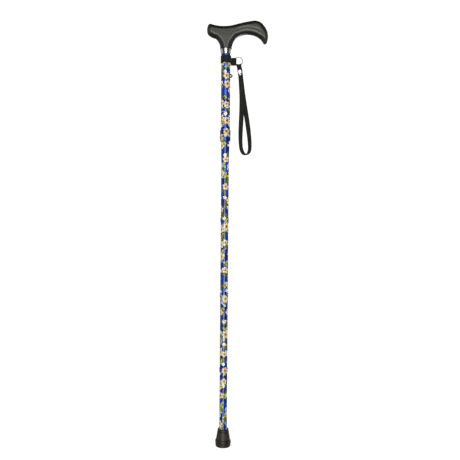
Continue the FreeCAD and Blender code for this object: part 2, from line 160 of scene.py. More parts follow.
def recalculate_normals(mesh):
    work = bmesh.new()
    work.from_mesh(mesh)
    bmesh.ops.recalc_face_normals(work, faces=work.faces)
    work.to_mesh(mesh)
    work.free()


def apply_modifiers(made):
    graph = bpy.context.evaluated_depsgraph_get()
    mesh = bpy.data.meshes.new_from_object(made.evaluated_get(graph))
    made.modifiers.clear()
    old = made.data
    made.data = mesh
    bpy.data.meshes.remove(old)


def smoothstep(low, high, value):
    share = min(max((value - low) / (high - low), 0.0), 1.0)
    return share * share * (3 - 2 * share)


# Materials ----------------------------------------------------------------

def srgb(red, green, blue):
    """A colour as it looks on a screen, 0 to 255, made linear."""
    linear = []
    for value in (red, green, blue):
        value /= 255
        linear.append(value / 12.92 if value <= 0.04045 else ((value + 0.055) / 1.055) ** 2.4)
    return (*linear, 1.0)


class Graph:
    """Adds nodes to a node tree. Any input may be a number, a colour or another node's output."""

    def __init__(self, tree):
        self.tree = tree

    def node(self, kind, inputs=(), **settings):
        made = self.tree.nodes.new(kind)
        for name, value in settings.items():
            setattr(made, name, value)
        for key, value in dict(inputs).items():
            self.feed(made.inputs[key], value)
        return made

    def feed(self, socket, value):
        if isinstance(value, bpy.types.NodeSocket):
            self.tree.links.new(value, socket)
        else:
            socket.default_value = value

    def math(self, operation, *values):
        made = self.node("ShaderNodeMath", operation=operation)
        for number, value in enumerate(values):
            self.feed(made.inputs[number], value)
        return made.outputs[0]

    def add(self, a, b):
        return self.math("ADD", a, b)

    def sub(self, a, b):
        return self.math("SUBTRACT", a, b)

    def mul(self, a, b):
        return self.math("MULTIPLY", a, b)

    def div(self, a, b):
        return self.math("DIVIDE", a, b)

    def step(self, value, low, high):
        """0 below low, 1 above high, smooth between. Low may be the larger."""
        return self.node(
            "ShaderNodeMapRange", {0: value, 1: low, 2: high}, interpolation_type="SMOOTHSTEP",
        ).outputs[0]

    def mix(self, share, a, b, blend="MIX"):
        made = self.node("ShaderNodeMix", data_type="RGBA", blend_type=blend)
        self.feed(made.inputs[0], share)
        self.feed(made.inputs[6], a)
        self.feed(made.inputs[7], b)
        return made.outputs[2]

    def ramp(self, value, *stops):
        made = self.node("ShaderNodeValToRGB", {0: value})
        elements = made.color_ramp.elements
        while len(elements) < len(stops):
            elements.new(0.5)
        for element, (place, colour) in zip(elements, stops):
            element.position = place
            element.color = colour
        return made.outputs[0]

    def noise(self, vector, scale, detail=3.0, roughness=0.55):
        made = self.node(
            "ShaderNodeTexNoise",
            {"Vector": vector, "Scale": scale, "Detail": detail, "Roughness": roughness},
        )
        return made.outputs[0]

    def vector(self, x, y, z):
        return self.node("ShaderNodeCombineXYZ", {0: x, 1: y, 2: z}).outputs[0]

    def split(self, vector):
        return self.node("ShaderNodeSeparateXYZ", {0: vector}).outputs

    def bump(self, height, distance, normal=None):
        made = self.node("ShaderNodeBump", {"Height": height, "Distance": distance})
        if normal:
            self.feed(made.inputs["Normal"], normal)
        return made.outputs[0]


class Surface(Graph):
    """A new material with one principled shader."""

    def __init__(self, name, **settings):
        self.material = bpy.data.materials.new(name)
        self.material.use_nodes = True
        super().__init__(self.material.node_tree)
        self.shader = self.tree.nodes["Principled BSDF"]
        self.set(**settings)
        self.place = self.node("ShaderNodeTexCoord").outputs["Object"]
        self.uv = self.node("ShaderNodeTexCoord").outputs["UV"]

    def set(self, **settings):
        for name, value in settings.items():
            self.feed(self.shader.inputs[name.replace("_", " ").title().replace("Ior", "IOR")], value)


def handle_material():
    s = Surface("moulded_handle", specular_tint=(1.0, 1.0, 0.93, 1.0))
    cloud = s.noise(s.place, 55, 4)
    grain = s.noise(s.place, 2600, 2)
    pores = s.noise(s.place, 900, 5, 0.7)
    _, y, z = s.split(s.place)
    seam = s.step(s.math("ABSOLUTE", y), 0.0009, 0.0002)
    worn = s.mul(s.step(z, 0.846, 0.858), s.step(cloud, 0.4, 0.7))
    # Painted highlight: a pale olive-grey line along the crease under the arm, and a fainter band above it,
    # stand in for light caught there.
    ridge_highlight = s.node("ShaderNodeAttribute", attribute_name="ridge_highlight").outputs["Fac"]
    colour = s.ramp(cloud, (0.3, srgb(20, 20, 19)), (0.7, srgb(27, 27, 25)))
    colour = s.mix(s.mul(pores, 0.2), colour, srgb(38, 38, 35))
    s.set(base_color=s.mix(s.mul(ridge_highlight, 0.9), colour, srgb(88, 87, 78)))
    s.set(roughness=s.sub(s.add(0.38, s.mul(pores, 0.08)), s.mul(worn, 0.06)))
    normal = s.bump(grain, 0.00006)
    normal = s.bump(pores, 0.00012, normal)
    s.set(normal=s.bump(seam, 0.00008, normal))
    return s.material


def rubber_material():
    s = Surface("moulded_rubber", specular_tint=(1.0, 0.94, 0.8, 1.0))
    cloud = s.noise(s.place, 120, 5, 0.6)
    grain = s.noise(s.place, 1800, 4, 0.6)
    x, _, z = s.split(s.place)
    scuffed = s.mul(s.step(z, 0.008, 0.0), s.step(cloud, 0.35, 0.65))
    colour = s.ramp(cloud, (0.25, srgb(22, 20, 17)), (0.75, srgb(33, 31, 26)))
    s.set(base_color=s.mix(scuffed, colour, srgb(52, 49, 43)))
    s.set(roughness=s.add(0.36, s.mul(grain, 0.16)))
    seam = s.mul(s.step(s.math("ABSOLUTE", x), 0.0004, 0.0001), 0.5)
    s.set(normal=s.bump(seam, 0.0002, s.bump(grain, 0.0001)))
    return s.material


def metal_material(name, colour, roughness, scratch, brushed=(60, 60, 4000)):
    s = Surface(name, metallic=1.0)
    stretched = s.node(
        "ShaderNodeVectorMath", {0: s.place, 1: brushed}, operation="MULTIPLY",
    ).outputs[0]
    lines = s.noise(stretched, 1.0, 4, 0.7)
    blotch = s.noise(s.place, 300, 4)
    s.set(base_color=s.mix(s.mul(blotch, 0.4), colour, tuple(0.7 * part for part in colour[:3]) + (1,)))
    s.set(roughness=s.add(roughness, s.mul(lines, scratch)))
    s.set(normal=s.bump(lines, 0.00001))
    return s.material


def plastic_material(name, dark, light, roughness):
    s = Surface(name)
    cloud = s.noise(s.place, 200, 4)
    grain = s.noise(s.place, 2500, 3)
    s.set(base_color=s.mix(cloud, dark, light))
    s.set(roughness=s.add(roughness, s.mul(grain, 0.15)))
    s.set(normal=s.bump(grain, 0.00005))
    return s.material


def weave(s, u, v, pitch):
    """Height of a plain weave, from coordinates in millimetres."""
    warp_number = s.math("FLOOR", s.div(u, pitch))
    weft_number = s.math("FLOOR", s.div(v, pitch))
    parity = s.math("FLOORED_MODULO", s.add(warp_number, weft_number), 2.0)
    warp = s.math("ABSOLUTE", s.math("SINE", s.mul(u, math.pi / pitch)))
    weft = s.math("ABSOLUTE", s.math("SINE", s.mul(v, math.pi / pitch)))
    over = s.mul(s.math("POWER", warp, 0.6), s.add(0.55, s.mul(weft, 0.45)))
    under = s.mul(s.math("POWER", weft, 0.6), s.add(0.3, s.mul(warp, 0.4)))
    return s.node("ShaderNodeMix", {0: parity, 2: over, 3: under}).outputs[0]


def webbing_material(name, pitch, dark, light, ribs=0.0):
    s = Surface(name, sheen_weight=0.08, sheen_roughness=0.4, specular_ior_level=0.3)
    u, v, _ = s.split(s.uv)
    height = weave(s, u, v, pitch)
    if ribs:
        cords = s.math("ABSOLUTE", s.math("SINE", s.mul(u, math.pi / ribs)))
        height = s.add(s.mul(height, 0.5), s.mul(s.math("POWER", cords, 0.7), 0.9))
    fibre = s.noise(s.place, 3500, 3, 0.7)
    cloud = s.noise(s.place, 90, 3)
    # Partly painted shade: the colour darkens in the weave's hollows and lightens on the raised threads; the
    # rest is random cloudy tone.
    tone = s.add(s.mul(height, 0.6), s.mul(cloud, 0.4))
    s.set(base_color=s.mix(tone, dark, light))
    s.set(roughness=s.add(0.62, s.mul(fibre, 0.25)))
    s.set(normal=s.bump(height, 0.00022, s.bump(fibre, 0.00006)))
    return s.material


def braid_material():
    s = Surface("braided_elastic", sheen_weight=0.3)
    x, y, z = s.split(s.place)
    turn = s.div(s.math("ARCTAN2", y, x), math.pi)
    one = s.math("ABSOLUTE", s.math("SINE", s.mul(s.add(s.mul(turn, 4.0), s.mul(z, 500.0)), math.pi)))
    two = s.math("ABSOLUTE", s.math("SINE", s.mul(s.sub(s.mul(turn, 4.0), s.mul(z, 500.0)), math.pi)))
    height = s.math("MAXIMUM", one, two)
    # Painted shade: the colour darkens in the hollows between the braid's strands and lightens on their
    # crowns.
    s.set(base_color=s.mix(height, srgb(150, 146, 136), srgb(232, 229, 220)))
    s.set(roughness=0.8, normal=s.bump(height, 0.0002))
    return s.material


# The printed tubes: flowers and leaves scattered in cells that close round the tube.

def cell(s, turn, height, around, tall, shift, seed, girth, jitter=0.2):
    """Millimetres from the middle of this cell's motif, turned at random, and random numbers."""
    row_place = s.add(s.div(height, tall), shift)
    row = s.math("FLOOR", row_place)
    stagger = s.mul(s.math("FLOORED_MODULO", row, 2.0), 0.5)
    place = s.add(s.add(s.mul(turn, around), stagger), shift * 1.7)
    column = s.math("FLOOR", place)
    name = s.vector(s.math("FLOORED_MODULO", column, around), row, seed)
    chance = s.node("ShaderNodeTexWhiteNoise", {"Vector": name}, noise_dimensions="3D")
    one, two, three = s.split(chance.outputs["Color"])
    x = s.sub(s.sub(place, column), s.add(0.5, s.mul(s.sub(one, 0.5), jitter)))
    y = s.sub(s.sub(row_place, row), s.add(0.5, s.mul(s.sub(two, 0.5), jitter)))
    x = s.mul(x, girth / around)
    y = s.mul(y, tall)
    radius = s.math("SQRT", s.add(s.mul(x, x), s.mul(y, y)))
    angle = s.add(s.math("ARCTAN2", y, x), s.mul(three, 2 * math.pi))
    return radius, angle, chance.outputs["Value"], one


def flower(s, at, size, petals, chance_limit, stops, ground):
    """Lay petals over the ground colour."""
    radius, angle, chance, other = at
    size = s.mul(s.add(0.85, s.mul(other, 0.3)), size)
    petal = s.math("ABSOLUTE", s.math("COSINE", s.mul(angle, petals / 2)))
    notch = s.mul(s.step(petal, 0.93, 1.0), 0.07)
    edge = s.sub(s.add(0.52, s.mul(s.math("POWER", petal, 0.55), 0.5)), notch)
    depth = s.div(s.div(radius, size), edge)
    veins = s.math("ABSOLUTE", s.math("SINE", s.mul(angle, petals * 4.5)))
    colour = s.ramp(s.add(depth, s.mul(s.sub(veins, 0.5), 0.12)), *stops)
    fold = s.mul(s.step(petal, 0.5, 0.05), s.step(depth, 0.2, 0.5))
    colour = s.mix(s.mul(fold, 0.75), colour, srgb(150, 110, 78))
    shown = s.mul(s.step(depth, 1.0, 0.93), s.math("LESS_THAN", chance, chance_limit))
    return s.mix(shown, ground, colour)


def leaves(s, at, reach, wide, count, chance_limit, dark, light, ground):
    """Lay pointed leaves that spread from one place over the ground colour."""
    radius, angle, chance, _ = at
    sector = 2 * math.pi / count
    folded = s.sub(s.math("FLOORED_MODULO", angle, sector), sector / 2)
    along = s.mul(radius, s.math("COSINE", folded))
    aside = s.mul(radius, s.math("SINE", folded))
    share = s.div(along, reach)
    aside = s.add(aside, s.mul(s.mul(share, share), wide * 0.5))
    half = s.mul(s.mul(s.mul(share, s.sub(1.0, share)), 4.0), wide)
    depth = s.div(s.math("ABSOLUTE", aside), s.math("MAXIMUM", half, 0.01))
    veins = s.math("SINE", s.mul(s.sub(along, s.math("ABSOLUTE", aside)), 3.2))
    side = s.step(aside, -0.15, 0.15)
    colour = s.mix(s.add(s.mul(side, 0.65), s.mul(veins, 0.13)), dark, light)
    rib = s.step(s.math("ABSOLUTE", aside), 0.32, 0.12)
    colour = s.mix(s.mul(rib, 0.8), colour, light)
    shown = s.mul(s.step(depth, 1.0, 0.8), s.math("GREATER_THAN", s.mul(share, s.sub(1.0, share)), 0.0))
    shown = s.mul(shown, s.math("LESS_THAN", chance, chance_limit))
    return s.mix(shown, ground, colour)


ROYAL = srgb(0, 56, 156)
DEEP = srgb(2, 30, 108)
NAVY = srgb(10, 10, 52)
OLIVE = srgb(110, 108, 18)
DARK_OLIVE = srgb(66, 72, 14)
LIME = srgb(186, 196, 92)
GREEN = srgb(120, 142, 34)
MINT = srgb(214, 232, 214)
SAGE = srgb(140, 172, 140)
CREAM_FLOWER = (
    (0.0, srgb(70, 24, 16)), (0.17, srgb(112, 52, 26)), (0.28, srgb(168, 116, 58)),
    (0.42, srgb(202, 170, 120)), (0.6, srgb(222, 212, 176)), (0.88, srgb(216, 204, 162)),
    (1.0, srgb(146, 116, 70)),
)
ROSE_FLOWER = (
    (0.0, srgb(84, 30, 24)), (0.22, srgb(130, 76, 48)), (0.36, srgb(184, 138, 98)),
    (0.55, srgb(212, 192, 152)), (0.86, srgb(220, 208, 172)), (1.0, srgb(142, 104, 66)),
)
WHITE_FLOWER = (
    (0.0, srgb(160, 110, 20)), (0.22, srgb(206, 160, 60)), (0.34, srgb(228, 226, 206)),
    (0.9, srgb(236, 238, 226)), (1.0, srgb(176, 184, 190)),
)


def print_material(name, outer_radius, tone=1.0, leafy=0.75, blooms=0.55):
    """Glossy floral print outside, bare drawn aluminium in the bore and on cut edges."""
    s = Surface(name, coat_weight=1.0, coat_roughness=0.07, coat_ior=1.5, specular_ior_level=0.04)
    x, y, z = s.split(s.place)
    radial = s.math("SQRT", s.add(s.mul(x, x), s.mul(y, y)))
    turn = s.add(s.div(s.math("ARCTAN2", x, s.mul(y, -1.0)), 2 * math.pi), 0.5)
    warp = s.noise(s.place, 130, 2)
    height = s.add(s.mul(z, 1000.0), s.mul(s.sub(warp, 0.5), 5.0))
    girth = 2 * math.pi * outer_radius / MM

    def at(around, tall, shift, seed, jitter=0.2):
        return cell(s, turn, height, around, tall, shift, seed, girth, jitter)

    cloud = s.noise(s.place, 70, 3)
    colour = s.mix(s.step(cloud, 0.4, 0.62), DEEP, ROYAL)
    colour = leaves(s, at(2.0, 29.0, 0.37, 1.0), 12.0, 3.0, 3, 0.8, NAVY, DEEP, colour)
    colour = leaves(s, at(2.0, 24.0, 0.11, 2.0), 12.0, 4.2, 3, leafy, DARK_OLIVE, OLIVE, colour)
    colour = leaves(s, at(3.0, 22.0, 0.73, 3.0), 7.8, 2.5, 3, 0.7, GREEN, LIME, colour)
    colour = leaves(s, at(3.0, 31.0, 0.29, 4.0), 7.8, 2.4, 2, 0.5, SAGE, MINT, colour)
    colour = flower(s, at(3.0, 21.0, 0.57, 5.0), 4.4, 5, 0.5, WHITE_FLOWER, colour)
    colour = flower(s, at(3.0, 28.0, 0.83, 6.0, 0.08), 7.4, 5, blooms, CREAM_FLOWER, colour)
    colour = flower(s, at(2.0, 36.0, 0.21, 7.0, 0.12), 8.6, 6, 0.6, ROSE_FLOWER, colour)
    colour = leaves(s, at(3.0, 25.0, 0.45, 8.0), 7.2, 1.8, 2, 0.4, OLIVE, LIME, colour)
    colour = s.mix(1.0, colour, (tone, tone, tone, 1), "MULTIPLY")

    outside = s.step(radial, outer_radius - 0.0003, outer_radius - 0.0001)
    drawn = s.noise(s.vector(s.mul(turn, 400.0), s.mul(z, 60.0), 0.0), 1.0, 3)
    bare = s.mix(drawn, srgb(150, 150, 152), srgb(205, 205, 208))
    s.set(base_color=s.mix(outside, bare, colour))
    s.set(metallic=s.sub(1.0, outside))
    rubs = s.noise(s.place, 900, 5, 0.7)
    s.set(roughness=s.add(0.28, s.mul(rubs, 0.14)))
    peel = s.noise(s.place, 420, 2)
    s.set(normal=s.bump(peel, 0.00004, s.bump(drawn, 0.00001)))
    return s.material


def repaint(material, *nodes):
    """Give carried-over CAD nodes a finished material."""
    for name in nodes:
        for material_slot in frame["nodes"][name].material_slots:
            material_slot.material = material


handle_finish = handle_material()
rubber = rubber_material()
chrome = metal_material("polished_chrome", (0.86, 0.86, 0.87, 1), 0.06, 0.06)
nickel = metal_material("bright_nickel", (0.25, 0.25, 0.255, 1), 0.2, 0.12, (900, 900, 900))
crimp_metal = metal_material("stamped_nickel", (0.5, 0.5, 0.51, 1), 0.2, 0.2, (900, 900, 4000))
steel = metal_material("drawn_steel", (0.55, 0.55, 0.56, 1), 0.28, 0.2, (900, 900, 900))
nylon = plastic_material("black_nylon", srgb(26, 26, 26), srgb(44, 44, 44), 0.38)
band_webbing = webbing_material("elastic_webbing", 0.9, srgb(9, 9, 9), srgb(26, 25, 24), 1.3)
tab_webbing = webbing_material("sewn_webbing", 0.8, srgb(9, 9, 8), srgb(27, 26, 24))
strap_webbing = webbing_material("flat_webbing", 0.75, srgb(9, 9, 8), srgb(33, 32, 27))
elastic = braid_material()
upper_print = print_material("floral_print_wide", 0.0095, leafy=1.0, blooms=0.6)
lower_print = print_material("floral_print_narrow", 0.008)
sleeve_print = print_material("floral_print_sleeve", 0.0084)
collar_print = print_material("floral_print_collar", 0.0108, 0.78)


# CAD nodes that keep their shape --------------------------------------------

SECTIONS = (1, 2, 3, 4)
repaint(chrome, "chrome_collar")
repaint(nickel, "snap_button")
repaint(steel, "handle_screw", "spigot_rivets", "snap_spring", "tip_washer")
repaint(nylon, "handle_spigot", "tube_bush", "thread_ring", "upper_glide", "top_anchor", "bottom_anchor")
repaint(upper_print, "upper_tube")
repaint(lower_print, "adjusting_tube", *[f"section_tube_{number}" for number in SECTIONS])
repaint(sleeve_print, *[f"joint_sleeve_{number}" for number in SECTIONS])
repaint(steel, *[f"joint_plug_{number}" for number in SECTIONS])
repaint(collar_print, "locking_collar")
repaint(rubber, "rubber_tip")


# Wrist strap ----------------------------------------------------------------
# The route's points lie in one leaning plane: (across, down, out), in millimetres.

STRAP_WIDTH = 9.5 * MM
STRAP_THICK = 2.2 * MM
STRAP_TURN = math.radians(43)
STRAP_DOWN = Vector((0.0586, -0.0208, -0.9981)).normalized()
STRAP_ROUTE = (
    (-0.8, -2, -0.85), (-0.4, 16, -0.7), (0, 45, -0.3), (-2.6, 76, 0), (-6.8, 104, 0), (-9.9, 130, 0),
    (-9.8, 149, 0), (-4.6, 159.2, 0), (4.6, 161.6, 0), (13, 156.2, 0), (16.2, 145, 0), (15.9, 126, 0),
    (13, 98, 0), (8.6, 70, 0), (4.8, 42, 0.4), (2.3, 16, 0.7), (0.8, -2, 0.85),
)
CRIMP_TOP = 10.0 * MM
CRIMP_BOTTOM = 20.6 * MM
TWIST_START = 60 * MM
TWIST_END = 165 * MM

swing = joint("strap_swing")
hang_point = Vector(swing["pos_m"])
strap_side = Vector(swing["axis"]).normalized()
strap_up = strap_side.cross(Vector((0, 1, 0))).normalized()
crimp_mouth = hang_point - strap_up * CRIMP_BOTTOM
plane_across = Vector((math.cos(STRAP_TURN), math.sin(STRAP_TURN), 0))
plane_across = (plane_across - STRAP_DOWN * plane_across.dot(STRAP_DOWN)).normalized()
plane_out = plane_across.cross(STRAP_DOWN).normalized()


def route_line(name, points):
    """Points read from a NURBS spline through the route."""
    curve = bpy.data.curves.new(name, "CURVE")
    curve.dimensions = "3D"
    spline = curve.splines.new("NURBS")
    spline.points.add(len(points) - 1)
    for control, point in zip(spline.points, points):
        control.co = (*point, 1)
    spline.order_u = 3
    spline.use_endpoint_u = True
    spline.resolution_u = 14
    carrier = bpy.data.objects.new(name, curve)
    mesh = bpy.data.meshes.new_from_object(carrier)
    line = [vertex.co.copy() for vertex in mesh.vertices]
    bpy.data.objects.remove(carrier)
    bpy.data.meshes.remove(mesh)
    return line


def strap_section():
    """Flat webbing, a little crowned, with a rounder selvedge down each side."""
    points = []
    for across, out in flat_section(STRAP_WIDTH, STRAP_THICK, 0.42, 44):
        share = abs(across) / (STRAP_WIDTH / 2)
        crown = 1 - 0.2 * share ** 2
        groove = 0.1 * math.exp(-((share - 0.74) / 0.07) ** 2)
        points.append((across, out * (crown - groove)))
    return points


def make_wrist_strap():
    control = [
        crimp_mouth + plane_across * (a * MM) + STRAP_DOWN * (d * MM) + plane_out * (o * MM)
        for a, d, o in STRAP_ROUTE
    ]
    line = route_line("strap_route", control)
    lengths = [0.0]
    for before, after in zip(line, line[1:]):
        lengths.append(lengths[-1] + (after - before).length)
    across = []
    for length in lengths:
        from_end = min(length, lengths[-1] - length)
        share = smoothstep(TWIST_START, TWIST_END, from_end)
        across.append(strap_side.lerp(-plane_out, share))
    made = sweep("wrist_strap_webbing", line, across, strap_section(), strap_webbing)
    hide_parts("wrist_strap")
    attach(made, "strap")
    return made, line


# Short loop, crimp, ring, tab and band --------------------------------------

ring_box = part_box("split_ring")
ring_middle = (Vector(ring_box[0]) + Vector(ring_box[1])) / 2
RING_R = 8.2 * MM
RING_WIRE = 1.6 * MM
RING_COIL = 0.86 * MM
RING_GAP_TURN = 0.5     # radians from the right to the wire's two ends
LOOP_FOLD_R = 1.75 * MM
LOOP_LEG_GAP = 1.15 * MM
LOOP_WIDTH = 10.6 * MM
WEBBING_THICK = 1.05 * MM
CRIMP_WIDTH = 10.7 * MM
CRIMP_DEEP = 5.8 * MM
CRIMP_SHEET = 0.5 * MM
CRIMP_ROUND = 2.5
CRIMP_FLARE = 0.25 * MM
CRIMP_PINCH = 0.35 * MM
TEETH_ROWS = (-0.22, 0.22)
TEETH_DEPTH = 0.12 * MM
TEETH_PITCH = 2.2 * MM


def make_ring_loop():
    """Webbing folded over the ring's wire, both ends in the crimp."""
    legs_low = CRIMP_BOTTOM - 2 * MM
    half = []
    for number in range(15):
        down = legs_low * (1 - number / 14)
        spread = LOOP_FOLD_R - (LOOP_FOLD_R - LOOP_LEG_GAP) * smoothstep(2 * MM, CRIMP_TOP, down)
        half.append((-spread, -down))
    turns = [math.pi * number / 12 for number in range(1, 12)]
    top = [(-LOOP_FOLD_R * math.cos(turn), LOOP_FOLD_R * math.sin(turn)) for turn in turns]
    path = half + top + [(-out, up) for out, up in reversed(half)]
    depth = Vector((0, 1, 0))
    centres = [hang_point + depth * out + strap_up * up for out, up in path]
    section = flat_section(LOOP_WIDTH, WEBBING_THICK, 0.3, 40)
    across = [strap_side] * len(centres)

    def scale(share):
        down = legs_low * abs(2 * share - 1)
        return 1.11 - 0.22 * smoothstep(0, CRIMP_TOP, down), 1

    made = sweep("ring_loop_webbing", centres, across, section, tab_webbing, scale=scale)
    for vertex in made.data.vertices:
        from_hang = vertex.co - hang_point
        vertex.co -= strap_side * 0.9 * MM * smoothstep(-CRIMP_TOP, 0, from_hang.dot(strap_up))
        side = (vertex.co - hang_point).dot(strap_side)
        rise = RING_R - math.sqrt(max(RING_R ** 2 - side ** 2, 0))
        vertex.co += strap_up * rise * smoothstep(-7 * MM, -1 * MM, from_hang.dot(strap_up))
    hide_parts("strap_ring_loop")
    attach(made, "strap")
    return made


def make_crimp():
    """Sheet folded round the webbing, with a seam behind and two rows of teeth marks."""
    half_width = (CRIMP_WIDTH - 1.1 * CRIMP_SHEET) / 2
    half_thick = (CRIMP_DEEP - 1.1 * CRIMP_SHEET) / 2
    outline = []
    for number in range(97):
        turn = math.radians(92 + 356 * number / 96)
        cos, sin = math.cos(turn), math.sin(turn)
        reach = abs(cos / half_width) ** CRIMP_ROUND + abs(sin / half_thick) ** CRIMP_ROUND
        reach **= -1 / CRIMP_ROUND
        outline.append((reach * cos, reach * sin))
    middle = hang_point - strap_up * (CRIMP_TOP + CRIMP_BOTTOM) / 2
    centres = [middle + strap_side * x + Vector((0, y, 0)) for x, y in outline]
    height = CRIMP_BOTTOM - CRIMP_TOP
    steps = 24
    section = [(height * (number / steps - 0.5), CRIMP_SHEET / 2) for number in range(steps + 1)]
    section += [(height * (0.5 - number / steps), -CRIMP_SHEET / 2) for number in range(steps + 1)]
    made = sweep("crimp_sheet", centres, [strap_up] * len(centres), section, crimp_metal)
    for vertex in made.data.vertices:
        from_middle = vertex.co - middle
        up = from_middle.dot(strap_up) / height
        side = from_middle.dot(strap_side)
        flare = CRIMP_FLARE * smoothstep(0.4, 0.5, abs(up))
        pinch = CRIMP_PINCH * smoothstep(0.35, 0.1, abs(up))
        teeth = 0.0
        for row in TEETH_ROWS:
            near = math.exp(-((up - row) / 0.05) ** 2)
            teeth += TEETH_DEPTH * near * max(math.cos(side / TEETH_PITCH * 2 * math.pi), 0)
        towards = math.copysign(1, from_middle.y)
        if abs(side) < half_width - 0.8 * MM:
            vertex.co.y += towards * (flare - pinch - teeth)
    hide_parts("strap_crimp")
    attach(made, "strap")
    return made


def make_split_ring():
    """Two turns of flattened wire, one crossing over to the other."""
    centres = []
    across = []
    count = 288
    for number in range(count + 1):
        turn = 4 * math.pi * number / count
        side = smoothstep(1.86 * math.pi, 2.14 * math.pi, turn) - 0.5
        angle = turn + RING_GAP_TURN
        outwards = Vector((math.cos(angle), 0, math.sin(angle)))
        centres.append(ring_middle + outwards * RING_R + Vector((0, side * RING_COIL, 0)))
        across.append(outwards)
    section = flat_section(RING_WIRE, RING_COIL * 0.98, 1.0, 16)
    made = sweep("split_ring_wire", centres, across, section, nickel)
    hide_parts("split_ring")
    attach(made, "ring")


def stitches(mesh, places):
    """Add small thread stitches, given as (middle, along, length, thick)."""
    work = bmesh.new()
    work.from_mesh(mesh)
    for middle, along, length, thick in places:
        turn = along.to_track_quat("X", "Z").to_matrix().to_4x4()
        size = Matrix.Diagonal((length / 2, thick / 2, thick / 2, 1))
        made = bmesh.ops.create_icosphere(
            work, subdivisions=2, radius=1, matrix=Matrix.Translation(middle) @ turn @ size,
        )
        for vertex in made["verts"]:
            for face in vertex.link_faces:
                face.smooth = True
    work.to_mesh(mesh)
    work.free()


tab_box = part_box("strap_tab")
band_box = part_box("strap_band")
STITCH_LONG = 1.5 * MM
STITCH_THICK = 0.34 * MM
STITCH_ROWS = (12.4 * MM, 14.2 * MM)
STITCHES = 7
BAND_R = 10.18 * MM
BAND_THICK = 1.12 * MM


def make_strap_tab():
    """One strip from the band, round the ring's wire and back, sewn through near the band."""
    low, high = tab_box[0][2], tab_box[1][2]
    middle_z = (low + high) / 2
    tall = high - low
    start, fold_start, end = 9.9 * MM, 15.2 * MM, 20.7 * MM
    near_half, wire_half = 0.62 * MM, 1.55 * MM
    outward = []
    for number in range(23):
        x = start + (end - 1.2 * MM - start) * number / 22
        open_share = smoothstep(fold_start - 2.0 * MM, fold_start + 1.6 * MM, x)
        close_share = smoothstep(end - 2.6 * MM, end - 0.6 * MM, x)
        half = near_half + (wire_half - near_half) * open_share - 0.3 * MM * close_share
        outward.append((x, -half))
    turn_r = -outward[-1][1]
    nose = [
        (outward[-1][0] + turn_r * math.cos(turn), turn_r * math.sin(turn))
        for turn in [math.radians(-90 + 18 * number) for number in range(1, 10)]
    ]
    path = outward + nose + [(x, -y) for x, y in reversed(outward)]
    centres = [Vector((x, y, middle_z)) for x, y in path]
    section = flat_section(tall, WEBBING_THICK, 0.22, 56)
    made = sweep("tab_webbing", centres, [UP] * len(centres), section, tab_webbing)
    for vertex in made.data.vertices:
        share = smoothstep(17.5 * MM, 21.5 * MM, vertex.co.x)
        up = (vertex.co.z - middle_z) / (tall / 2)
        vertex.co.z = middle_z + (vertex.co.z - middle_z) * (1 - 0.045 * share * abs(up) ** 3)
        vertex.co.x -= 0.5 * MM * share * max(-up, 0) ** 2
    rows = []
    for side in (-1, 1):
        for x in STITCH_ROWS:
            half = near_half + 0.58 * MM + (0.12 * MM if x > 13 * MM else 0)
            for number in range(STITCHES):
                z = low + tall * (number + 0.5) / STITCHES
                rows.append((Vector((x, side * half, z)), UP, STITCH_LONG, STITCH_THICK))
    stitches(made.data, rows)
    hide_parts("strap_tab")
    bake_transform(made)


def make_strap_band():
    """Elastic webbing sewn into a sleeve round the tube, made as one closed band with a slight wave."""
    low, high = band_box[0][2], band_box[1][2]
    middle_z = (low + high) / 2
    centres = []
    count = 120
    for number in range(count):
        turn = 2 * math.pi * number / count
        wave = 0.12 * MM * math.sin(3 * turn + 0.6)
        centres.append(Vector((BAND_R * math.cos(turn), BAND_R * math.sin(turn), middle_z + wave)))
    section = flat_section(high - low - 0.4 * MM, BAND_THICK, 0.22, 64)
    made = sweep("band_webbing", centres, [UP] * count, section, band_webbing, closed=True)
    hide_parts("strap_band")
    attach(made, "band")


ring_loop = make_ring_loop()
crimp = make_crimp()
strap, strap_line = make_wrist_strap()
make_split_ring()
make_strap_tab()
make_strap_band()


# Handle ---------------------------------------------------------------------

HANDLE_HALF = 12.0 * MM
NECK_HALF = 11.35 * MM
EDGE_TOP = 6.0 * MM
EDGE_UNDER = 6.8 * MM
TOP_STRETCH = 0.37      # added share of the rounded edge's width along the top
TILT_TOP = math.radians(36)
TILT_UNDER = math.radians(29)
NECK_TILT = math.radians(14)
SOCKET_R = 9.0 * MM
SOCKET_TALL = 45 * MM
VOXEL = 0.6 * MM
RIM_GAP = 0.25 * MM
MERGE_GAP = 0.3 * MM
RELAX_STEPS = 3
SIDE_REACH = 0.45 * MM  # points nearer the slab's side face than this belong to the rounded side
NECK_START = 28 * MM    # above the neck's end: where the round neck begins,
NECK_FULL = 3 * MM      # and where it is complete
COLUMN = 2 * MM         # width of the columns in which the rim's top and underside are told apart
ARM_UNDER = 0.7 * MM    # how much thinner the long arm is along its underside
ARM_EDGE = 1.4 * MM     # how much narrower its lower edge is
ENDS_THINNER = 1.1 * MM
# Width and place of the painted highlight bands on the handle.
HIGHLIGHT_WIDTH = 1.1 * MM
UPPER_HIGHLIGHT_PLACE = 13.2 * MM
GROOVE_PLACE = 10.8 * MM
GROOVE_WIDTH = 1.3 * MM
GROOVE_DEPTH = 0.55 * MM
handle_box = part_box("handle")
neck_z = handle_box[0][2]


